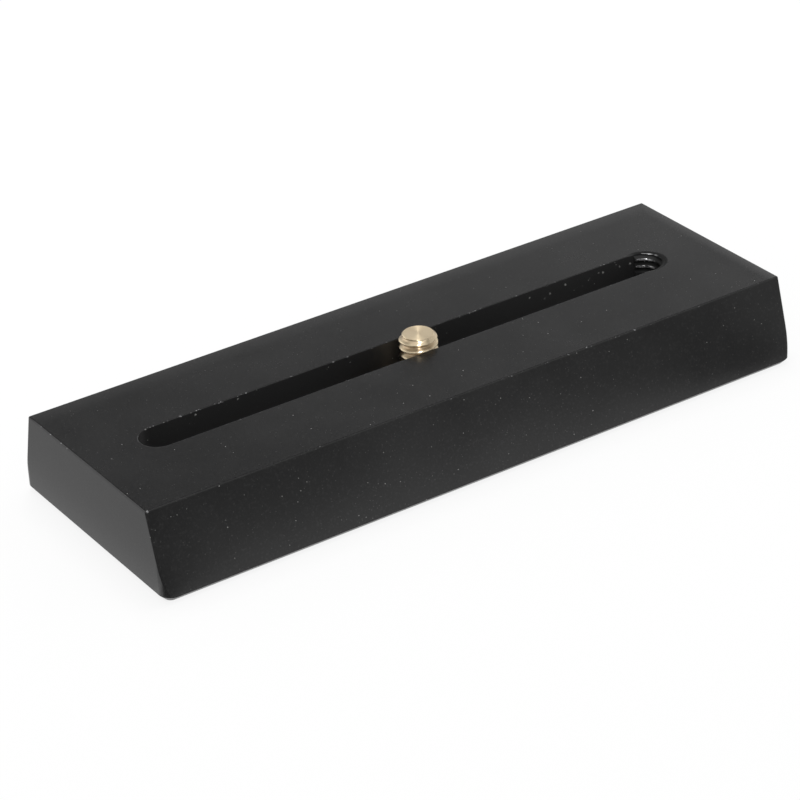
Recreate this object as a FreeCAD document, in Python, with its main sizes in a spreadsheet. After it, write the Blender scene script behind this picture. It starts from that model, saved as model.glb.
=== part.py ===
"""Dovetail bar: a milled aluminium bar with sloped flanks and a brass camera screw that slides in its slot.

The bar lies on its wide face. Z is up from that face, X runs along the bar and the origin is the middle of
the wide face. Millimetres and degrees.
"""
import FreeCAD, Part
import math
import os
import Sketcher

# Driving dimensions: name, number and what it measures.
SIZES = (
    ("bar_length", 120, "bar along X"),
    ("base_width", 44, "wide face across Y, to the sharp edges before they are chamfered"),
    ("bar_height", 14.5, "wide face to narrow face"),
    ("flank_angle", 15, "lean of the two flanks from the vertical"),
    ("corner_radius", 2, "rounding of the bar's four upright corners"),
    ("base_chamfer", 1, "chamfer round the wide face"),
    ("edge_radius", 0.3, "rounding of the edges round the narrow face and down the ends"),
    ("thread_diameter", 6.35, "crests of the 1/4-20 camera thread"),
    ("slot_clearance", 0.05, "gap between the thread and each wall of the slot"),
    ("plain_inset", 12.9, "end of the bar to the centre of the slot's plain round end, at -X"),
    ("tapped_inset", 13.4, "end of the bar to the centre of the slot's tapped round end, at +X"),
    ("slot_rim", 0.15, "rounding of the slot's upper rim"),
    ("mouth_diameter", 7.4, "shallow countersunk mouth of the tapped end"),
    ("mouth_depth", 0.18, "shallow countersunk mouth of the tapped end"),
    ("head_diameter", 11, "screw head"),
    ("head_height", 4, "screw head"),
    ("head_chamfer", 0.4, "edge break of the screw head"),
    ("head_clearance", 0.5, "gap between the head and each wall of the channel"),
    ("channel_depth", 7, "channel for the head, up from the wide face"),
    ("channel_rim", 0.3, "edge break round the channel's mouth"),
    ("screw_place", 0.75, "screw's axis along X"),
    ("screw_lift", 0.3, "underside of the head above the wide face"),
    ("tip_rise", 1.8, "screw's tip above the narrow face"),
    ("tip_diameter", 4.9, "flat end of the screw's chamfered tip"),
    ("tip_length", 0.73, "chamfer from the flat end to the full thread"),
    ("neck_diameter", 5, "relief between the head and the thread"),
    ("neck_length", 1.5, "relief between the head and the thread"),
    ("coin_slot_width", 1.6, "slot across the head for a coin or a driver"),
    ("coin_slot_depth", 1.5, "slot across the head for a coin or a driver"),
)
NEAR = 1e-4
QUARTERS = ("--", "+-", "++", "-+")

# Sizes that follow from the driving dimensions.
PLAIN_END = "(sizes.plain_inset - sizes.bar_length / 2)"
TAPPED_END = "(sizes.bar_length / 2 - sizes.tapped_inset)"
SLOT_RADIUS = "(sizes.thread_diameter / 2 + sizes.slot_clearance)"
CHANNEL_RADIUS = "(sizes.head_diameter / 2 + sizes.head_clearance)"
FLANK_RUN = "(sizes.bar_height * tan(sizes.flank_angle))"
TIP_HEIGHT = "(sizes.bar_height + sizes.tip_rise - sizes.screw_lift)"

doc = FreeCAD.newDocument("DovetailBar")
sizes = doc.addObject("Spreadsheet::Sheet", "sizes")
for row, (alias, number, meaning) in enumerate(SIZES, 1):
    sizes.set(f"A{row}", alias)
    sizes.set(f"B{row}", str(number))
    sizes.set(f"C{row}", meaning)
    sizes.setAlias(f"B{row}", alias)
doc.recompute()


def add_body(label):
    """Return an empty body that carries the node's name."""
    body = doc.addObject("PartDesign::Body", label)
    body.Label = label
    return body


def add_sketch(body, name, role, offset=()):
    """Return an empty sketch on one of the body's origin planes, shifted by pairs of axis and expression."""
    sketch = body.newObject("Sketcher::SketchObject", name)
    origin_plane = next(item for item in body.Origin.OriginFeatures if item.Role == role)
    sketch.AttachmentSupport = [(origin_plane, "")]
    sketch.MapMode = "FlatFace"
    for axis, expression in offset:
        sketch.setExpression(f"AttachmentOffset.Base.{axis}", expression)
    return sketch


def draw_polygon(sketch, corners):
    """Draw a closed outline through corners that are pairs of expressions, each bound to the sizes."""
    values = [[float(sketch.evalExpression(text)) for text in corner] for corner in corners]
    points = [FreeCAD.Vector(x, y, 0) for x, y in values]
    first = sketch.GeometryCount
    for index, point in enumerate(points):
        following = (index + 1) % len(points)
        sketch.addGeometry(Part.LineSegment(point, points[following]))
    for index, corner in enumerate(corners):
        line = first + index
        following = first + (index + 1) % len(points)
        sketch.addConstraint(Sketcher.Constraint("Coincident", line, 2, following, 1))
        for kind, expression, value in zip(("DistanceX", "DistanceY"), corner, values[index]):
            number = sketch.addConstraint(Sketcher.Constraint(kind, -1, 1, line, 1, value))
            sketch.setExpression(f"Constraints[{number}]", expression)


def draw_obround(sketch, radius):
    """Draw the slot's outline, with round ends of a radius about the plain and the tapped end's centres."""
    round_end = float(sketch.evalExpression(radius))
    ends = [float(sketch.evalExpression(centre)) for centre in (PLAIN_END, TAPPED_END)]
    for centre, start in zip(ends, (math.pi / 2, -math.pi / 2)):
        circle = Part.Circle(FreeCAD.Vector(centre, 0, 0), FreeCAD.Vector(0, 0, 1), round_end)
        sketch.addGeometry(Part.ArcOfCircle(circle, start, start + math.pi))
    for side in (round_end, -round_end):
        sketch.addGeometry(Part.LineSegment(*(FreeCAD.Vector(centre, side, 0) for centre in ends)))
    plain, tapped, upper, lower = range(4)
    joints = ((plain, 1, upper, 1), (plain, 2, lower, 1), (tapped, 2, upper, 2), (tapped, 1, lower, 2))
    for arc, arc_end, line, line_end in joints:
        sketch.addConstraint(Sketcher.Constraint("Tangent", arc, arc_end, line, line_end))
    sketch.addConstraint(Sketcher.Constraint("Equal", plain, tapped))
    for arc, centre, expression in zip((plain, tapped), ends, (PLAIN_END, TAPPED_END)):
        sketch.addConstraint(Sketcher.Constraint("PointOnObject", arc, 3, -1))
        number = sketch.addConstraint(Sketcher.Constraint("DistanceX", -1, 1, arc, 3, centre))
        sketch.setExpression(f"Constraints[{number}]", expression)
    number = sketch.addConstraint(Sketcher.Constraint("Radius", tapped, round_end))
    sketch.setExpression(f"Constraints[{number}]", radius)


def dress_edges(body, kind, name, size, chosen):
    """Fillet or chamfer those edges of the body's last feature that the chosen function picks."""
    doc.recompute()
    base = body.Tip
    names = [f"Edge{number}" for number, edge in enumerate(base.Shape.Edges, 1) if chosen(edge.BoundBox)]
    feature = body.newObject(f"PartDesign::{kind}", name)
    feature.Base = (base, names)
    feature.setExpression("Radius" if kind == "Fillet" else "Size", size)
    doc.recompute()


def on_rim(height, radius):
    """Return a test for level edges at a height that keep within a radius of the bar's middle plane."""
    return lambda box: (
        box.ZLength < NEAR
        and abs(box.ZMin - height) < NEAR
        and max(box.YMax, -box.YMin) < radius + NEAR
    )


def cut(body, name, sketch, depth=None):
    """Pocket a sketch through everything on both sides of it, or up from it to a depth."""
    pocket = body.newObject("PartDesign::Pocket", name)
    pocket.Profile = sketch
    if depth is None:
        pocket.Type = "ThroughAll"
        pocket.SideType = "Symmetric"
    else:
        pocket.setExpression("Length", depth)
        pocket.Reversed = True
    before = body.Shape.Volume
    doc.recompute()
    if not body.Shape.Volume < before - NEAR:
        raise RuntimeError(f"{name} cuts nothing")


def is_top_or_end_edge(box):
    """Pick the edges round the narrow face and the slanted ones where a flank meets an end."""
    slanted = box.XLength < NEAR and min(box.YLength, box.ZLength) > NEAR
    return slanted or box.ZMin > sizes.bar_height - NEAR


def make_bar():
    """Mill the bar: stock with rounded corners, sloped flanks, slot, tapped end's mouth and head channel."""
    bar = add_body("dovetail_bar")
    half_length = "sizes.bar_length / 2"
    half_width = "sizes.base_width / 2"

    outline = add_sketch(bar, "StockOutline", "XY_Plane")
    draw_polygon(outline, [(f"{x}{half_length}", f"{y}{half_width}") for x, y in QUARTERS])
    stock = bar.newObject("PartDesign::Pad", "Stock")
    stock.Profile = outline
    stock.setExpression("Length", "sizes.bar_height")
    dress_edges(bar, "Fillet", "UprightCorners", "sizes.corner_radius", lambda box: box.ZLength > NEAR)
    dress_edges(bar, "Chamfer", "BaseChamfer", "sizes.base_chamfer", lambda box: box.ZMax < NEAR)

    flanks = add_sketch(bar, "FlankWedges", "YZ_Plane")
    for side in "+-":
        foot = f"{side}{half_width}"
        crown = f"{side}({half_width} - {FLANK_RUN})"
        draw_polygon(flanks, [(foot, "0"), (foot, "sizes.bar_height"), (crown, "sizes.bar_height")])
    cut(bar, "Flanks", flanks)
    dress_edges(bar, "Fillet", "TopAndEndEdges", "sizes.edge_radius", is_top_or_end_edge)

    slot = add_sketch(bar, "SlotOutline", "XY_Plane")
    draw_obround(slot, SLOT_RADIUS)
    cut(bar, "Slot", slot)
    slot_rim = on_rim(sizes.bar_height, float(bar.evalExpression(SLOT_RADIUS)))
    dress_edges(bar, "Fillet", "SlotRim", "sizes.slot_rim", slot_rim)

    tapped_rim = (("x", TAPPED_END), ("y", "sizes.bar_height"))
    mouth = add_sketch(bar, "MouthSection", "XZ_Plane", tapped_rim)
    floor = "-sizes.mouth_depth"
    draw_polygon(mouth, [("0", "0"), ("sizes.mouth_diameter / 2", "0"), (SLOT_RADIUS, floor), ("0", floor)])
    countersink = bar.newObject("PartDesign::Groove", "TappedMouth")
    countersink.Profile = mouth
    countersink.ReferenceAxis = (mouth, ["V_Axis"])

    channel = add_sketch(bar, "ChannelOutline", "XY_Plane")
    draw_obround(channel, CHANNEL_RADIUS)
    cut(bar, "HeadChannel", channel, "sizes.channel_depth")
    channel_rim = on_rim(0, float(bar.evalExpression(CHANNEL_RADIUS)))
    dress_edges(bar, "Chamfer", "ChannelRim", "sizes.channel_rim", channel_rim)
    return bar


def make_screw():
    """Turn the screw about Z with its head down, cut the coin slot and stand it in the bar's slot."""
    screw = add_body("camera_screw")
    head = "sizes.head_diameter / 2"
    neck = "sizes.neck_diameter / 2"
    thread = "sizes.thread_diameter / 2"
    edge = "sizes.head_chamfer"
    thread_start = f"(sizes.head_height + sizes.neck_length + {thread} - {neck})"

    section = add_sketch(screw, "TurnedSection", "XZ_Plane")
    draw_polygon(section, [
        ("0", "0"),
        (f"{head} - {edge}", "0"),
        (head, edge),
        (head, f"sizes.head_height - {edge}"),
        (f"{head} - {edge}", "sizes.head_height"),
        (neck, "sizes.head_height"),
        (neck, "sizes.head_height + sizes.neck_length"),
        (thread, thread_start),
        (thread, f"{TIP_HEIGHT} - sizes.tip_length"),
        ("sizes.tip_diameter / 2", TIP_HEIGHT),
        ("0", TIP_HEIGHT),
    ])
    turned = screw.newObject("PartDesign::Revolution", "Turned")
    turned.Profile = section
    turned.ReferenceAxis = (section, ["V_Axis"])
    doc.recompute()

    across = add_sketch(screw, "CoinSlotOutline", "XY_Plane")
    draw_polygon(across, [
        (f"{x}sizes.coin_slot_width / 2", f"{y}sizes.head_diameter") for x, y in QUARTERS
    ])
    cut(screw, "CoinSlot", across, "sizes.coin_slot_depth")
    screw.setExpression("Placement.Base.x", "sizes.screw_place")
    screw.setExpression("Placement.Base.z", "sizes.screw_lift")
    return screw


bodies = [make_bar(), make_screw()]
doc.recompute()
for item in doc.Objects:
    if {"Invalid", "Error"} & set(item.State):
        raise RuntimeError(f"{item.Name} failed: {item.State}")
for body in bodies:
    if body.Shape.isNull() or not body.Shape.isValid() or len(body.Shape.Solids) != 1:
        raise RuntimeError(f"{body.Label} is not one valid solid")

os.makedirs("parts", exist_ok=True)
for body in bodies:
    body.Shape.exportStep(f"parts/{body.Label}.step")
    box = body.Shape.optimalBoundingBox()
    print(f"{body.Label}: {box.XLength:.2f} x {box.YLength:.2f} x {box.ZLength:.2f} mm")
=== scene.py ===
# %% [markdown]
# # A dovetail bar, dressed in Blender
#
# The object is a black anodised bar that clamps into a telescope or camera saddle. A slot runs along its
# middle, and a small brass camera screw slides in that slot. The construction is already done in a CAD
# program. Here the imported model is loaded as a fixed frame, so each piece below goes where the drawing says.

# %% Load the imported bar
import bmesh
import bpy
import math
from mathutils import Matrix, Vector


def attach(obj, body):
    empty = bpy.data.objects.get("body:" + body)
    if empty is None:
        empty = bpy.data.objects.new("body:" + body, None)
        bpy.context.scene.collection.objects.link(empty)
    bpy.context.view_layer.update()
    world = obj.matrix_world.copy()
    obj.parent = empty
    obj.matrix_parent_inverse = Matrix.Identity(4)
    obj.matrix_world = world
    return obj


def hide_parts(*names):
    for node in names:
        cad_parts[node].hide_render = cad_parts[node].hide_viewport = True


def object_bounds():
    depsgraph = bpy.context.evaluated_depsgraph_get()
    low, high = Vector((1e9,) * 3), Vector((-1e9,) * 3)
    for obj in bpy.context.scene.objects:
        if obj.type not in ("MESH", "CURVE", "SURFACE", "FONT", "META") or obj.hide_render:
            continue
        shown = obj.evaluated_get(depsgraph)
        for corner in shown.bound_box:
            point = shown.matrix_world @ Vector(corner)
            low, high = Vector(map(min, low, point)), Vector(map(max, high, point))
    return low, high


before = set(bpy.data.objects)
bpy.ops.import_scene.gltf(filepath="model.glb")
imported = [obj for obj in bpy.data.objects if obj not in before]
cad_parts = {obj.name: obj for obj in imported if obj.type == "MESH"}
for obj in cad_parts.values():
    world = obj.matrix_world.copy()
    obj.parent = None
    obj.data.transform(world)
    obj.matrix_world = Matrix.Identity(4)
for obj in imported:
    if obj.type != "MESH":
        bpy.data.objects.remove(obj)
cad_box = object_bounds()
MM = 0.001
cad_size = [round(length / MM, 2) for length in cad_box[1] - cad_box[0]]
print("pieces:", sorted(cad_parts), "size in mm:", cad_size)

# %% [markdown]
# ## The camera
#
# The view was found by fitting a pinhole camera to the straight edges of the real bar. A long lens, about
# 139 mm on a 36 mm sensor, stands half a metre away, to the left of the bar's front. The camera is also
# rolled by three degrees. The three directions of the camera are worked out first, because they are also
# the columns of its matrix.

# %% Camera
PICTURE_SIDE = 800
LENS_IN_PIXELS = 3082.255
SENSOR = 36.0
AIM = Vector((-5.289, -3.104, 7.5)) * MM
DISTANCE = 489.533 * MM
AZIMUTH, ELEVATION, ROLL = (math.radians(angle) for angle in (-32.656, 29.091, -2.955))


def seen_from(azimuth, elevation):
    """Return the direction from the bar to a viewer, with azimuth 0 in front of the bar at -Y."""
    level = math.cos(elevation)
    return Vector((math.sin(azimuth) * level, -math.cos(azimuth) * level, math.sin(elevation)))


def new_object(name, data):
    """Add an object to the scene."""
    made = bpy.data.objects.new(name, data)
    bpy.context.scene.collection.objects.link(made)
    return made


back = seen_from(AZIMUTH, ELEVATION)
side = Vector((math.cos(AZIMUTH), math.sin(AZIMUTH), 0))
turn = Matrix.Rotation(ROLL, 3, back)
columns = Matrix((turn @ side, turn @ back.cross(side), back)).transposed()
camera = new_object("photo_camera", bpy.data.cameras.new("photo_camera"))
camera.data.sensor_width = SENSOR
camera.data.lens = LENS_IN_PIXELS / PICTURE_SIDE * SENSOR
camera.matrix_world = Matrix.Translation(AIM + back * DISTANCE) @ columns.to_4x4()
bpy.context.scene.camera = camera
bpy.context.scene.view_settings.view_transform = "Standard"
print("lens in mm:", round(camera.data.lens, 2))

# %% [markdown]
# ## Writing a finish as sums
#
# A finish is a tree of shader nodes. Dozens of small Math nodes are hard to read, so one class wraps an
# output socket, and each Python operator on it adds the Math node. Every other node comes from one method,
# which takes the node's type, its settings and then the values or links of its sockets. Patterns read the
# piece's own coordinates in millimetres, so they stay put when the piece moves.

# %% A wire and a bench
class Wire:
    """An output socket that can be added, multiplied and compared in Python."""

    def __init__(self, bench, socket):
        self.bench = bench
        self.socket = socket

    def maths(self, operation, *values):
        """Add a Math node and return its result."""
        return self.bench.node("ShaderNodeMath", {"operation": operation}, dict(enumerate(values)))["Value"]

    def __add__(self, other):
        return self.maths("ADD", self, other)

    def __sub__(self, other):
        return self.maths("SUBTRACT", self, other)

    def __rsub__(self, other):
        return self.maths("SUBTRACT", other, self)

    def __mul__(self, other):
        return self.maths("MULTIPLY", self, other)

    def __truediv__(self, other):
        return self.maths("DIVIDE", self, other)

    def __pow__(self, power):
        return self.maths("POWER", self, power)

    def __abs__(self):
        return self.maths("ABSOLUTE", self)

    __radd__ = __add__
    __rmul__ = __mul__


class Bench:
    """A node tree under work."""

    def __init__(self, tree):
        self.tree = tree
        tree.nodes.clear()

    def node(self, kind, settings=None, sockets=None):
        """Add a node, set it up, fill or link its sockets and return its outputs by name."""
        made = self.tree.nodes.new(kind)
        for name, value in (settings or {}).items():
            setattr(made, name, value)
        for key, value in (sockets or {}).items():
            socket = made.inputs[key] if isinstance(key, int) else next(
                item for item in made.inputs if item.name == key and item.enabled)
            if isinstance(value, Wire):
                self.tree.links.new(value.socket, socket)
            else:
                socket.default_value = value
        return {item.name: Wire(self, item) for item in made.outputs if item.enabled}

    def place(self, centre=(0, 0, 0)):
        """Return the piece's own coordinates in millimetres, counted from a centre."""
        metres = self.node("ShaderNodeTexCoord")["Object"]
        scaled = {"Vector": metres, "Scale": (1 / MM,) * 3, "Location": tuple(-number for number in centre)}
        return self.node("ShaderNodeMapping", {"vector_type": "POINT"}, scaled)["Vector"]

    def axes(self, vector):
        """Return the three numbers of a vector."""
        parts = self.node("ShaderNodeSeparateXYZ", None, {"Vector": vector})
        return parts["X"], parts["Y"], parts["Z"]

    def rise(self, value, low, high):
        """Return 0 below one number, 1 above another and a smooth rise between them."""
        sockets = {"Value": value, "From Min": low, "From Max": high}
        return self.node("ShaderNodeMapRange", {"interpolation_type": "SMOOTHSTEP"}, sockets)["Result"]

    def noise(self, vector, per_mm, detail=2.0):
        """Return a cloudy pattern with so many lumps in a millimetre."""
        sockets = {"Vector": vector, "Scale": per_mm, "Detail": detail}
        return self.node("ShaderNodeTexNoise", None, sockets)["Fac"]

    def tool_marks(self, radius, height, per_mm, detail=2.0):
        """Return a pattern that runs round an axis, as the marks of a lathe tool or a tap do."""
        turned = self.node("ShaderNodeCombineXYZ", None, {"X": radius, "Z": height})["Vector"]
        return self.noise(turned, per_mm, detail)

    def blend(self, amount, first, second):
        """Return one colour that turns into another."""
        sockets = {"Factor": amount, "A": first, "B": second}
        return self.node("ShaderNodeMix", {"data_type": "RGBA"}, sockets)["Result"]

    def specks(self, vector, spacing, radius, share):
        """Return dots of a radius where a share of evenly scattered points comes near the surface."""
        cells = self.node("ShaderNodeTexVoronoi", None, {"Vector": vector, "Scale": 1 / spacing})
        chance = self.axes(cells["Color"])[0]
        inside = 1 - self.rise(cells["Distance"] * spacing, radius * 0.6, radius)
        return inside * self.rise(chance, 1 - share - 0.01, 1 - share)

    def relief(self, height, distance, strength=1.0):
        """Return normals that follow a height, of which 1 stands for a distance in metres."""
        sockets = {"Strength": strength, "Distance": distance, "Height": height}
        return self.node("ShaderNodeBump", None, sockets)["Normal"]

    def show(self, shader):
        """Send a shader to the material's output."""
        self.node("ShaderNodeOutputMaterial", None, {"Surface": shader})


def new_finish(name):
    """Return a material and the bench for its tree."""
    material = bpy.data.materials.new(name)
    material.use_nodes = True
    return material, Bench(material.node_tree)


def grey(level):
    """Return a neutral colour."""
    return (level, level, level, 1.0)


print("a finish is written with", len([name for name in dir(Bench) if not name.startswith("_")]), "methods")

# %% [markdown]
# ## Distances on the bar
#
# Wear follows edges. So the finish of the bar first has to know how far a point is from each of them. Every
# edge is written as a line where two measures are zero at once, and the distance from it is the root of the
# sum of their squares. The numbers are the drawing's own, in millimetres.

# %% Measures of the bar
BAR_HALF_LENGTH = 60.0
BAR_TOP = 14.5
TOP_HALF_WIDTH = 18.115
SLOT_ENDS = (-47.1, 46.6)
SLOT_RADIUS = 3.225
MOUTH_RADIUS = 3.7
MOUTH_DEPTH = 0.18


def least(first, second):
    """Return the smaller of two wires or numbers."""
    return first.maths("MINIMUM", first, second)


def most(first, second):
    """Return the larger of two wires or numbers."""
    return first.maths("MAXIMUM", first, second)


def from_line(first, second):
    """Return the distance from the line where two measures are zero."""
    return (first * first + second * second) ** 0.5


def from_slot_axis(x, y):
    """Return how far a point is from the straight line between the centres of the slot's ends."""
    along = most(least(x, SLOT_ENDS[1]), SLOT_ENDS[0])
    return from_line(x - along, y)


print("slot length in mm:", round(SLOT_ENDS[1] - SLOT_ENDS[0] + 2 * SLOT_RADIUS, 2))

# %% [markdown]
# ## Black anodising
#
# The bar is milled, blasted with fine beads and anodised black. The blasting leaves a matte grain of about a
# fifth of a millimetre, and where the jet ran off the top it has rolled the last millimetres over a little.
# The dyed oxide is a clear, hard layer over black, so it mirrors a few percent of the room and hardly
# scatters light itself. White dust has settled on it. There are more specks in the slot and on the flanks
# than on the top, and the powder is brighter on the flanks. In the slot that is dust; on the flanks it is
# partly dust and partly painted light, which stands in for the front light there. The top is rubbed a little
# smoother and has been wiped along its far half. The slot's walls are rougher, so they blur what they
# mirror; they are paler than the top, more so towards the tapped end, where chips from the tap lie high on
# them. The countersunk mouth of the tapped end is painted near black: painted shade. The sharp edges are
# nicked down to the metal in a few places, and the cutter left a bright burr along the slot's far rim.

# %% The black finish of the bar
OXIDE = (0.0105, 0.0105, 0.0107, 1.0)
PALE_OXIDE = grey(0.026)
# Near black for the countersunk mouth of the tapped end: painted shade.
MOUTH_PAINTED_SHADE = grey(0.001)
DUST_AND_PAINTED_LIGHT = (0.6, 0.6, 0.58, 1.0)
BARE_METAL = (0.62, 0.62, 0.63, 1.0)
ROLLED_WIDTH = 4.0
ROLLED_DROP = 0.1
END_ROLL = 1.6
GRAIN_HEIGHT = 0.005
CORNER_CHIP = (-59.65, -18.3, 14.4)


def edge_wear(bench, place):
    """Return where the oxide is off the upper edges: nicks, one torn corner and a burr along the slot."""
    x, y, z = bench.axes(place)
    below_top = BAR_TOP - z
    long_edge = from_line(abs(y) - TOP_HALF_WIDTH, below_top)
    end_edge = from_line(BAR_HALF_LENGTH - abs(x), below_top)
    rim = from_line(from_slot_axis(x, y) - SLOT_RADIUS, below_top)
    nearest = least(least(long_edge, end_edge), rim)
    knocks = bench.rise(bench.noise(place, 1.7, 4.0), 0.645, 0.69)
    knocked_areas = bench.rise(bench.noise(place, 0.16), 0.4, 0.6)
    nicks = (1 - bench.rise(nearest, 0.1, 0.24)) * (knocks * knocked_areas)
    chip = bench.node("ShaderNodeVectorMath", {"operation": "DISTANCE"}, {0: place, 1: CORNER_CHIP})["Value"]
    torn = 1 - bench.rise(chip + 0.5 * bench.noise(place, 3.0), 0.43, 0.55)
    on_rim = 1 - bench.rise(rim, 0.14, 0.24)
    left_part = 1 - bench.rise(x, -28, -22)
    far_side = bench.rise(y, 0, 1)
    burr = bench.specks(place, 0.5, 0.12, 0.6) * on_rim * left_part * far_side
    return most(most(nicks, torn), burr)


def rolled_top(bench, x, y, z):
    """Return the drop in millimetres by which the blasting has rolled over the top's +X and +Y edges."""
    inside = least(TOP_HALF_WIDTH - y, END_ROLL * (BAR_HALF_LENGTH - x))
    near = most(1 - inside / ROLLED_WIDTH, 0.0)
    return near * near * bench.rise(z, BAR_TOP - 0.12, BAR_TOP - 0.02) * -ROLLED_DROP


def tap_swarf(bench, place):
    """Return ragged clumps high on the slot's wall, many near the tapped end and a few elsewhere."""
    x, _, z = bench.axes(place)
    wobble = bench.node("ShaderNodeTexNoise", None, {"Vector": place, "Scale": 4.0})["Color"]
    shifted = {0: wobble, 1: (0.5,) * 3, 2: place}
    ragged = bench.node("ShaderNodeVectorMath", {"operation": "MULTIPLY_ADD"}, shifted)["Vector"]
    many = bench.specks(ragged, 1.1, 0.27, 0.5) * bench.rise(x, 24, 30)
    few = bench.specks(ragged, 1.1, 0.2, 0.12)
    return most(many, few) * bench.rise(z, 11.8, 12.8) * 0.6


def black_anodising():
    """Return the bar's finish: black oxide with dust, chips, wear, and painted light and shade."""
    material, bench = new_finish("black_anodising")
    place = bench.place()
    x, y, z = bench.axes(place)
    on_flank = bench.rise(abs(y) - TOP_HALF_WIDTH, 0.1, 0.6)
    on_top = bench.rise(z, BAR_TOP - 0.05, BAR_TOP - 0.01)
    from_axis = from_slot_axis(x, y)
    in_slot = 1 - bench.rise(from_axis, SLOT_RADIUS + 0.02, SLOT_RADIUS + 0.1)
    within_mouth = 1 - bench.rise(from_axis, MOUTH_RADIUS + 0.05, MOUTH_RADIUS + 0.1)
    at_tapped_end = bench.rise(x, SLOT_ENDS[1] - 1, SLOT_ENDS[1] + 0.5)
    in_mouth = bench.rise(BAR_TOP - z, 0.01, 0.03) * within_mouth * at_tapped_end
    worn = edge_wear(bench, place)
    wiped = on_top * bench.rise(y, 0, 6)
    dust = bench.specks(place, 1.1, 0.085, 0.18) * (1 - 0.75 * wiped)
    # More specks in the slot and on the flanks: dust, and on the flanks also painted light for the front
    # light.
    more_dust_and_painted_light = bench.specks(place, 0.95, 0.07, 0.18) * most(on_flank, in_slot)
    swarf = tap_swarf(bench, place) * in_slot
    # Powder twice as bright on the flanks: the extra is painted light.
    powder_and_painted_light = bench.specks(place, 0.5, 0.075, 0.35) * (0.07 + 0.07 * on_flank)
    pale = most(most(most(dust, more_dust_and_painted_light) * 0.8, swarf), powder_and_painted_light)

    cloud = bench.noise(place, 0.09, 4.0)
    grain = bench.noise(place, 4.6, 3.0)
    mottle = 0.25 * bench.rise(cloud, 0.3, 0.7) + 0.7 * bench.rise(bench.noise(place, 2.4, 3.0), 0.5, 0.75)
    # The slot's walls are paler than the top, more so towards the tapped end.
    slot_paling = 0.3 + 0.5 * bench.rise(x, 5, 35)
    paling = mottle + (slot_paling - mottle) * in_slot
    # The mouth of the tapped end is painted near black: painted shade.
    dyed_with_painted_shade = bench.blend(in_mouth, bench.blend(paling, OXIDE, PALE_OXIDE), MOUTH_PAINTED_SHADE)
    dusty_with_painted_light_and_shade = bench.blend(pale, dyed_with_painted_shade, DUST_AND_PAINTED_LIGHT)
    height = GRAIN_HEIGHT * grain + rolled_top(bench, x, y, z)
    rougher = 0.2 * pale + 0.5 * in_mouth + 0.12 * in_slot
    surface = bench.node("ShaderNodeBsdfPrincipled", None, {
        "Base Color": bench.blend(worn * 0.8, dusty_with_painted_light_and_shade, BARE_METAL),
        "Roughness": 0.27 - 0.07 * on_top + 0.06 * cloud + 0.05 * grain + rougher,
        "Metallic": worn * 0.8,
        "IOR": 1.5,
        "Normal": bench.relief(height, MM),
    })
    bench.show(surface["BSDF"])
    return material


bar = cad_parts["dovetail_bar"]
bar.data.materials.clear()
bar.data.materials.append(black_anodising())
print("bar finish:", len(bar.data.materials[0].node_tree.nodes), "nodes")

# %% [markdown]
# ## The thread in the end of the slot
#
# The right-hand end of the slot is tapped, so the screw can be parked there. Half a turn of each groove is
# left, and what shows are the ridges between the grooves. A ridge is a short wedge section that is swept
# half way round while it climbs by half the pitch of 1.27 mm, which is what the spin operator does when it
# also gets a step to move by. The shallow countersunk mouth cuts the top ridge back to a thin crescent: each
# point that would stand in the mouth is moved straight out to its cone.

# %% Ridges of the tapped end
PITCH = 1.27
TAPPED_CENTRE = Vector((SLOT_ENDS[1], 0, 0)) * MM
RIDGE_HALF = ((3.26, 0.57), (3.1, 0.477), (2.95, 0.389), (2.8, 0.302), (2.66, 0.22), (2.57, 0.12))
RIDGE_CREST = 2.55
RIDGE_HEIGHTS = (14.72, 13.45, 12.18, 10.91, 9.64, 8.37)
RIDGE_ANGLE = 50
RIDGE_STEPS = 40
SWEEP = (-88, 91)
BEHIND_CONE = 0.03
MERGE_DISTANCE = 0.002 * MM
UP = Vector((0, 0, 1))


def at_angle(radius, degrees, height, centre):
    """Return a point by its radius, angle and height in millimetres about an upright axis."""
    angle = math.radians(degrees)
    return centre + Vector((radius * math.cos(angle), radius * math.sin(angle), height)) * MM


def reach(point, centre):
    """Return the distance of a point from an upright axis in millimetres."""
    return (point - centre).xy.length / MM


def set_reach(vert, centre, radius):
    """Move a vertex straight out or in to a radius in millimetres."""
    flat = (vert.co - centre).xy
    flat.length = radius * MM
    vert.co.x = centre.x + flat.x
    vert.co.y = centre.y + flat.y


def whole_section(half, crest):
    """Return a section that is the same below and above its crest, from its lower end up."""
    return [(radius, -rise) for radius, rise in half] + [(crest, 0)] + list(reversed(half))


def chain(bm, points, closed):
    """Add vertices and the edges that join them in a row."""
    verts = [bm.verts.new(point) for point in points]
    pairs = zip(verts, verts[1:] + verts[:1] if closed else verts[1:])
    return verts + [bm.edges.new(pair) for pair in pairs]


def sweep(bm, geometry, centre, degrees, steps):
    """Spin geometry about an upright axis while it climbs with the thread's pitch."""
    step = UP * (PITCH * MM * degrees / 360 / steps)
    return bmesh.ops.spin(bm, geom=geometry, cent=centre, axis=UP, dvec=step,
                          angle=math.radians(degrees), steps=steps)["geom_last"]


def only_edges(items):
    """Return the edges among the vertices, edges and faces that an operator gives back."""
    return [item for item in items if isinstance(item, bmesh.types.BMEdge)]


def mesh_from(bm, name):
    """Turn a bmesh into a mesh and free it."""
    mesh = bpy.data.meshes.new(name)
    bm.to_mesh(mesh)
    bm.free()
    return mesh


def finished_piece(bm, name, material, sharp_angle):
    """Turn a bmesh into an object with outward faces and smooth shading up to an angle."""
    bmesh.ops.recalc_face_normals(bm, faces=bm.faces)
    mesh = mesh_from(bm, name)
    mesh.shade_smooth()
    mesh.set_sharp_from_angle(angle=math.radians(sharp_angle))
    mesh.materials.append(material)
    return new_object(name, mesh)


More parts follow.
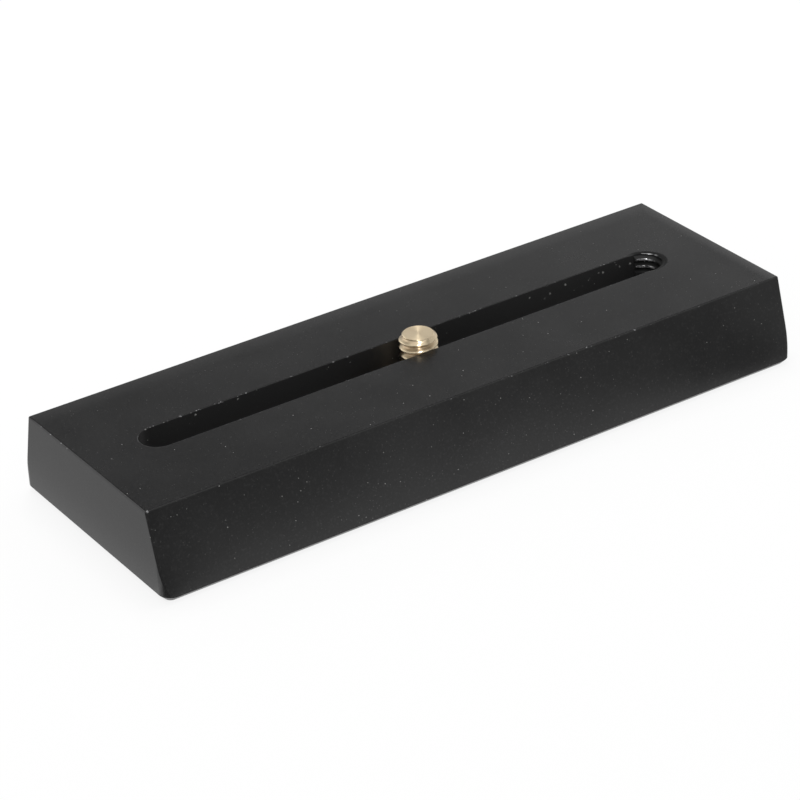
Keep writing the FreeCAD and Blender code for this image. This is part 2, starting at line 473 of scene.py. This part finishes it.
def cut_mouth(bm):
    """Move what stands in the countersunk mouth out to just behind its cone."""
    for vert in bm.verts:
        height = min(vert.co.z / MM, BAR_TOP - BEHIND_CONE)
        vert.co.z = height * MM
        pulled_in = (BAR_TOP - height) * (MOUTH_RADIUS - SLOT_RADIUS) / MOUTH_DEPTH
        cone = MOUTH_RADIUS - pulled_in + BEHIND_CONE
        if reach(vert.co, TAPPED_CENTRE) < cone:
            set_reach(vert, TAPPED_CENTRE, cone)
    bmesh.ops.remove_doubles(bm, verts=bm.verts, dist=MERGE_DISTANCE)


def tapped_ridges(material):
    """Sweep a half turn for each ridge, close its two ends and make room for the mouth."""
    bm = bmesh.new()
    section = whole_section(RIDGE_HALF, RIDGE_CREST)
    for height in RIDGE_HEIGHTS:
        foot = height + PITCH * (SWEEP[0] - RIDGE_ANGLE) / 360
        points = [at_angle(radius, SWEEP[0], foot + rise, TAPPED_CENTRE) for radius, rise in section]
        start = chain(bm, points, closed=True)
        end = sweep(bm, start, TAPPED_CENTRE, SWEEP[1] - SWEEP[0], RIDGE_STEPS)
        for loop in (start, end):
            bmesh.ops.contextual_create(bm, geom=only_edges(loop))
    cut_mouth(bm)
    return finished_piece(bm, "tapped_ridges", material, sharp_angle=50)


# %% [markdown]
# ## Cut thread finish
#
# The tap cuts the ridges after blasting, so they are smoother than the bar, and the upper crests are rubbed
# bright by the screw on the far side. Towards the right end and the near side, where the ridges turn away from
# the light, they are painted darker and mirror less: painted shade. The distance from the hole's axis tells
# crest from groove.

# %% The finish of the ridges
# Near black for the ridges towards the right end and the near side: painted shade.
THREAD_PAINTED_SHADE = grey(0.014)


def cut_thread():
    """Return the ridges' finish: black, painted shade on the near side, bare metal on the rubbed crests."""
    material, bench = new_finish("cut_thread")
    place = bench.place((SLOT_ENDS[1], 0, 0))
    x, y, z = bench.axes(place)
    radius = from_line(x, y)
    crest = most(1 - bench.rise(radius, RIDGE_CREST + 0.03, RIDGE_CREST + 0.08), bench.rise(z, 14.1, 14.2))
    patches = bench.rise(bench.noise(place, 1.6, 3.0), 0.34, 0.6)
    rubbed = crest * bench.rise(y, 0.4, 1.8) * bench.rise(z, 11.2, 12.0) * patches
    # Darker and mirroring less towards the right end and the near side: painted shade.
    painted_shade_near_side = 1 - bench.rise(y, 0.2, 1.6)
    black = bench.blend(painted_shade_near_side, PALE_OXIDE, THREAD_PAINTED_SHADE)
    marks = bench.tool_marks(radius, z, 9.0)
    surface = bench.node("ShaderNodeBsdfPrincipled", None, {
        "Base Color": bench.blend(rubbed, black, BARE_METAL),
        "Roughness": 0.45 - 0.22 * rubbed + 0.05 * marks,
        "Metallic": most(rubbed, 0.28 * painted_shade_near_side),
        "IOR": 1.25,
        "Normal": bench.relief(marks, 0.02 * MM, 0.2),
    })
    bench.show(surface["BSDF"])
    return material


ridges = tapped_ridges(cut_thread())
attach(ridges, "bar")
print("ridges:", len(ridges.data.polygons), "faces on", len(RIDGE_HEIGHTS), "half turns")

# %% [markdown]
# ## The brass screw
#
# The screw is turned from brass rod and threaded with a die. The CAD model has a plain cylinder there, so
# this piece replaces it. One pitch of the thread's section is drawn as a row of points and swept round and
# up for eleven turns. Two flat cuts trim the sweep, the tapered tip is pressed in by a limit on the radius,
# and the lower end grows into a neck and a head by pulling its edge out, ring after ring, as a lathe would
# leave it.

# %% Thread, neck and head
SCREW_AXIS = Vector((0.75, 0, 0)) * MM
CREST, ROOT = 3.175, 2.49
HALF_SECTION = ((ROOT, 0.635), (2.51, 0.55), (2.58, 0.46), (2.72, 0.37), (2.87, 0.285), (3.0, 0.21),
                (3.1, 0.14), (3.16, 0.07))
THREAD_FOOT = 5.85
SCREW_TIP = 16.3
TIP_BREAK = 0.06
TIP_RADIUS = 2.45
TIP_TAPER = 1.0
NECK_RADIUS = 2.5
CREST_ANGLE, CREST_HEIGHT = 147.3, 15.22
TURNS, TURNS_BELOW_CREST = 11, 9
STEPS_PER_TURN = 64
SAME_LEVEL = 0.01
HEAD_FOOT = 0.3
HEAD_RINGS = ((NECK_RADIUS, 4.5), (2.56, 4.36), (2.7, 4.3), (5.1, 4.3), (5.5, 3.9), (5.5, 0.7),
              (5.1, HEAD_FOOT))
COIN_SLOT = Vector((1.6, 14.0, 3.0))


def thread_surface(bm):
    """Sweep one pitch of the section up the screw and merge the turns where they meet."""
    foot = CREST_HEIGHT - TURNS_BELOW_CREST * PITCH
    section = whole_section(HALF_SECTION, CREST)
    points = [at_angle(radius, CREST_ANGLE, foot + rise, SCREW_AXIS) for radius, rise in section]
    sweep(bm, chain(bm, points, closed=False), SCREW_AXIS, 360 * TURNS, STEPS_PER_TURN * TURNS)
    bmesh.ops.remove_doubles(bm, verts=bm.verts, dist=MERGE_DISTANCE)


def trim_thread(bm):
    """Taper the tip and the run-out above the neck, then cut both ends level."""
    for vert in bm.verts:
        height = vert.co.z / MM
        tip = TIP_RADIUS + (SCREW_TIP - height) * TIP_TAPER
        run_out = NECK_RADIUS + max(height - THREAD_FOOT, 0)
        limit = min(tip, run_out)
        if reach(vert.co, SCREW_AXIS) > limit:
            set_reach(vert, SCREW_AXIS, limit)
    for height, normal in ((SCREW_TIP - TIP_BREAK, UP), (THREAD_FOOT, -UP)):
        bmesh.ops.bisect_plane(bm, geom=bm.verts[:] + bm.edges[:] + bm.faces[:], dist=1e-7,
                               plane_co=UP * height * MM, plane_no=normal, clear_outer=True)


def open_edges(bm, height):
    """Return the open edges at a height."""
    return [edge for edge in bm.edges if edge.is_boundary
            and all(abs(vert.co.z / MM - height) < SAME_LEVEL for vert in edge.verts)]


def pull_rings(bm, edges, rings):
    """Pull an open edge on through rings of a radius and height, and close the last one."""
    for radius, height in rings:
        pulled = bmesh.ops.extrude_edge_only(bm, edges=edges)["geom"]
        for vert in (item for item in pulled if isinstance(item, bmesh.types.BMVert)):
            vert.co.z = height * MM
            set_reach(vert, SCREW_AXIS, radius)
        edges = [edge for edge in only_edges(pulled) if edge.is_boundary]
    bmesh.ops.contextual_create(bm, geom=edges)


def cap_tip(bm):
    """Close the tip with a flat face and raise its middle, which leaves a broken edge."""
    cap = bmesh.ops.contextual_create(bm, geom=open_edges(bm, SCREW_TIP - TIP_BREAK))["faces"]
    bmesh.ops.recalc_face_normals(bm, faces=bm.faces)
    bmesh.ops.inset_region(bm, faces=cap, thickness=TIP_BREAK * MM, depth=TIP_BREAK * MM)


def cut_coin_slot(screw):
    """Take a bar-shaped cut out of the head with a boolean, and keep the result as the screw's mesh."""
    bm = bmesh.new()
    bmesh.ops.create_cube(bm, size=1, matrix=Matrix.Translation(SCREW_AXIS + UP * HEAD_FOOT * MM)
                          @ Matrix.Diagonal(COIN_SLOT * MM).to_4x4())
    cutter = new_object("coin_cutter", mesh_from(bm, "coin_cutter"))
    cut = screw.modifiers.new("coin_slot", "BOOLEAN")
    cut.object = cutter
    cut.operation = "DIFFERENCE"
    cut.solver = "EXACT"
    depsgraph = bpy.context.evaluated_depsgraph_get()
    slotted = bpy.data.meshes.new_from_object(screw.evaluated_get(depsgraph))
    screw.modifiers.clear()
    screw.data = slotted
    bpy.data.objects.remove(cutter)


def brass_screw(material):
    """Build the screw from its thread outwards and return it."""
    bm = bmesh.new()
    thread_surface(bm)
    trim_thread(bm)
    pull_rings(bm, open_edges(bm, THREAD_FOOT), HEAD_RINGS)
    cap_tip(bm)
    screw = finished_piece(bm, "brass_camera_screw", material, sharp_angle=35)
    cut_coin_slot(screw)
    return screw


# %% [markdown]
# ## Turned brass
#
# Fresh brass is a pale gold mirror, blurred by the fine rings that the tool leaves. The rings depend only on
# the distance from the axis and on the height, so a pattern of those two numbers gives rings on the flat end
# and lines round the thread. Rings too fine to show one by one still blur a mirror image across them and not
# along them, which draws a lamp out into the streak that runs over the flat end of any turned part. That is
# what Anisotropic does. Its own direction runs round the piece's upright middle axis, so a quarter of a turn
# points it across the rings. The flat end was faced off with a coarse tool, so it also scatters light like a
# pale satin. The metal is a little tarnished in patches, and in the roots of the thread it is painted darker
# and browner: painted shade.

# %% The finish of the screw
BRASS = (0.8, 0.665, 0.46, 1.0)
# Darker, browner brass: tarnish in patches, and painted shade in the roots of the thread.
TARNISH_AND_ROOT_SHADE = (0.74, 0.57, 0.38, 1.0)
RING_BLUR = 0.85
ACROSS_RINGS = 0.25
RING_HEIGHT = 0.02


def turned_brass():
    """Return the screw's finish: pale brass with turned rings, a faced end, dark patches and painted root
    shade.
    """
    material, bench = new_finish("turned_brass")
    place = bench.place(tuple(SCREW_AXIS / MM))
    x, y, z = bench.axes(place)
    radius = from_line(x, y)
    rings = bench.tool_marks(radius, z, 14.0, 3.0)
    cloud = bench.noise(place, 0.7, 3.0)
    faced = bench.rise(z, SCREW_TIP - 0.04, SCREW_TIP - 0.02)
    below_tip = 1 - bench.rise(z, 15.7, 16.1)
    above_head = bench.rise(z, 4.2, 4.6)
    in_root = (1 - bench.rise(radius, 2.5, 3.05)) * below_tip * above_head
    # Tarnish in cloudy patches, and painted shade in the roots of the thread.
    tarnish_and_root_shade = in_root * 0.7 + 0.2 * bench.rise(cloud, 0.45, 0.75)
    surface = bench.node("ShaderNodeBsdfPrincipled", None, {
        "Base Color": bench.blend(tarnish_and_root_shade, BRASS, TARNISH_AND_ROOT_SHADE),
        "Roughness": 0.23 + 0.08 * cloud + 0.1 * in_root + 0.23 * faced,
        "Metallic": 1 - 0.36 * faced,
        "Anisotropic": RING_BLUR,
        "Anisotropic Rotation": ACROSS_RINGS,
        "Normal": bench.relief(rings, RING_HEIGHT * MM),
    })
    bench.show(surface["BSDF"])
    return material


screw = brass_screw(turned_brass())
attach(screw, "screw")
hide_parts("camera_screw")
print("screw:", len(screw.data.polygons), "faces")

# %% [markdown]
# ## The white sheet
#
# The bar lies on a white sheet. The sheet counts as plain white for the camera and for mirror rays, with a
# share of its real shading kept so that a soft shadow stays. Under the bar the camera sees only the real
# shading, and all other rays pass through to the dim room below, so the slot stays dark. Seen from below the
# sheet lets the camera through too, so that the underside of the bar can be looked at.

# %% Floor
SHEET_HALF = 0.4
SHEET_DROP = 0.02
SHADOW_SHARE = 0.13
PAPER = 0.92
COVERED_LENGTH = (58, 59.5)
COVERED_WIDTH = (19.5, 21)


def white_sheet():
    """Return the sheet's finish, which differs by where a ray comes from."""
    material, bench = new_finish("white_sheet")
    rays = bench.node("ShaderNodeLightPath")
    seen = rays["Is Camera Ray"]
    shown = least(seen + rays["Is Glossy Ray"] + rays["Is Transmission Ray"], 1.0)
    paper = bench.node("ShaderNodeBsdfDiffuse", None, {"Color": grey(PAPER)})
    white = bench.node("ShaderNodeEmission", None, {"Color": grey(1.0), "Strength": 1.0})
    x, y, _ = bench.axes(bench.place())
    covered = (1 - bench.rise(abs(x), *COVERED_LENGTH)) * (1 - bench.rise(abs(y), *COVERED_WIDTH))
    amount = shown * (1 - covered) * (1 - SHADOW_SHARE)
    front = bench.node("ShaderNodeMixShader", None, {0: amount, 1: paper["BSDF"], 2: white["Emission"]})
    from_below = bench.node("ShaderNodeNewGeometry")["Backfacing"] * seen
    passed = most(from_below, covered * (1 - seen))
    clear = bench.node("ShaderNodeBsdfTransparent")
    sheet = bench.node("ShaderNodeMixShader", None, {0: passed, 1: front["Shader"], 2: clear["BSDF"]})
    bench.show(sheet["Shader"])
    material.cycles.emission_sampling = "NONE"
    return material


def stage_piece(bm, name, material):
    """Turn a bmesh into a piece of the stage, which isn't part of the object."""
    piece = new_object(name, mesh_from(bm, name))
    piece.data.materials.append(material)
    return piece


bm = bmesh.new()
bmesh.ops.create_grid(bm, x_segments=8, y_segments=8, size=SHEET_HALF,
                      matrix=Matrix.Translation(-UP * SHEET_DROP * MM))
stage_piece(bm, "white_sheet", white_sheet())
print("sheet:", SHEET_HALF * 2, "m wide")

# %% [markdown]
# ## Two cards for the mirror
#
# Black anodising shows mostly what it mirrors. Photographers lay cards round a dark part to shape that. A
# black one in front keeps the near side dark, so that only its foot mirrors the white sheet. A grey one to
# the left takes the glare off the end. The cards show only in mirror rays: the camera doesn't see them, and
# they neither throw shadows nor take light from the part.

# %% Cards
CARD_LIFT = 0.3
CARD_FADE = 6
BLACK_OUTLINE = ((-110, -14), (-70, -17.5), (-64, -19.5), (-61, -21), (-48, -36), (-41, -48), (-14, -61),
                 (18, -74), (36, -70), (44, -52), (48, -32), (57, -27), (66, -28), (133, -105), (340, -350),
                 (340, -390), (-390, -390), (-390, -14))
GREY_OUTLINE = ((-60.5, -17), (-60.5, 70), (-120, 140), (-390, 140), (-390, -14), (-110, -13.5), (-70, -17))


def mirror_card(name, outline, level, level_at_bar):
    """Lay a card that only mirror rays see, with one level of light to the left of the bar and one at it."""
    material, bench = new_finish(name)
    along = bench.axes(bench.place())[0]
    at_bar = bench.rise(along, -BAR_HALF_LENGTH - CARD_FADE, -BAR_HALF_LENGTH)
    shade = bench.blend(at_bar, grey(level), grey(level_at_bar))
    glow = bench.node("ShaderNodeEmission", None, {"Color": shade, "Strength": 1.0})
    bench.show(glow["Emission"])
    material.cycles.emission_sampling = "NONE"
    bm = bmesh.new()
    corners = [Vector((x, y, CARD_LIFT)) * MM for x, y in outline]
    bmesh.ops.contextual_create(bm, geom=only_edges(chain(bm, corners, closed=True)))
    card = stage_piece(bm, name, material)
    card.visible_camera = False
    card.visible_shadow = False
    card.visible_diffuse = False
    return card


cards = (
    mirror_card("black_card", BLACK_OUTLINE, level=0.13, level_at_bar=0.1),
    mirror_card("grey_card", GREY_OUTLINE, level=0.61, level_at_bar=0.82),
)
for card in cards:
    print(card.name, "has", len(card.data.vertices), "corners")

# %% [markdown]
# ## The room
#
# The room gives plain light from all sides. In mirror rays it is dim, apart from a few places. A pale
# backdrop glows behind, brightest at the horizon on the right. The top of the bar mirrors that backdrop, so
# it gets lighter from its near left corner to its far right one. A pale screen bends from the front over the
# bar, and two more stand behind on the left and all along the right. The brass mirrors all three. A gap
# between the first and the last keeps the rounded front edge of the bar dark.

# %% Room
FILL = 0.7
ROOM = 0.05
BELOW = 0.3
BACKDROP = 0.67
FRONT = 0.7
OVERHEAD_SCREEN = 0.8
LEFT_SCREEN = 1.2
RIGHT_SCREEN = 0.55


def studio_room():
    """Return a world whose brightness depends on direction in mirror rays, and is even in all others."""
    world = bpy.data.worlds.new("studio_room")
    world.use_nodes = True
    bench = Bench(world.node_tree)
    x, y, z = bench.axes(bench.node("ShaderNodeTexCoord")["Generated"])
    behind = bench.rise(x, 0.0, 0.6) * (1 - 0.6 * bench.rise(x, 0.6, 0.8)) * bench.rise(y, -0.2, 0.4)
    ahead = bench.rise(-0.54 * x - 0.84 * y, -0.35, 0.25)
    front = FRONT * ahead * bench.rise(z, 0.0, 0.4)
    over = most(front, OVERHEAD_SCREEN * bench.rise(z, 0.7, 0.9))
    high_front = bench.rise(z, 0.2, 0.5) * (1 - bench.rise(y, 0.0, 0.4))
    right = RIGHT_SCREEN * bench.rise(x + 0.14 * high_front, 0.61, 0.69)
    left = LEFT_SCREEN * bench.rise(0.8 * y - 0.6 * x, 0.55, 0.95)
    gap = 0.8 * bench.rise(x, 0.25, 0.45) * bench.rise(z, 0.3, 0.5)
    backdrop = BACKDROP * behind * (1 - bench.rise(z, 0.3, 0.56))
    above = ROOM + backdrop + most(over * (1 - gap), most(left, right))
    mirrored = BELOW + (above - BELOW) * bench.rise(z, -0.3, -0.1)
    rays = bench.node("ShaderNodeLightPath")
    seen = rays["Is Camera Ray"]
    shiny = rays["Is Glossy Ray"] + rays["Is Transmission Ray"]
    level = seen + shiny * mirrored + (1 - seen - shiny) * FILL
    glow = bench.node("ShaderNodeBackground", None, {"Color": level, "Strength": 1.0})
    bench.node("ShaderNodeOutputWorld", None, {"Surface": glow["Background"]})
    world.cycles.sampling_method = "NONE"
    return world


bpy.context.scene.world = studio_room()
print("room level for plain surfaces:", FILL)

# %% [markdown]
# ## Two lamps
#
# A large softbox hangs overhead and behind. It lights the sheet and the satin end of the screw, and throws
# the soft shadow. The overhead screen stands for it in the mirror, so mirror rays don't see it. A tall narrow
# strip light stands in front, in line with the camera. It counts only in mirror rays, where it draws the
# streak down the screw and the bright lines on the thread crests.

# %% Lamps
OVERHEAD = {"azimuth": 165, "elevation": 72, "distance": 0.7, "width": 0.3, "height": 0.3, "watts": 2.3}
STRIP = {"azimuth": -33, "elevation": 50, "distance": 0.6, "width": 0.06, "height": 0.8, "watts": 1.9}


def hang_softbox(name, azimuth, elevation, distance, width, height, watts):
    """Add a lamp that looks at the bar from a direction given in degrees."""
    lamp = new_object(name, bpy.data.lights.new(name, "AREA"))
    lamp.data.shape = "RECTANGLE"
    lamp.data.size = width
    lamp.data.size_y = height
    lamp.data.energy = watts
    towards = seen_from(math.radians(azimuth), math.radians(elevation))
    facing = towards.to_track_quat("Z", "Y").to_matrix().to_4x4()
    lamp.matrix_world = Matrix.Translation(towards * distance) @ facing
    return lamp


overhead_softbox = hang_softbox("overhead_softbox", **OVERHEAD)
overhead_softbox.visible_glossy = False
strip_light = hang_softbox("strip_light", **STRIP)
strip_light.visible_diffuse = False
for lamp in (overhead_softbox, strip_light):
    print(lamp.name, "stands at", [round(number / MM) for number in lamp.matrix_world.translation], "mm")

# %% [markdown]
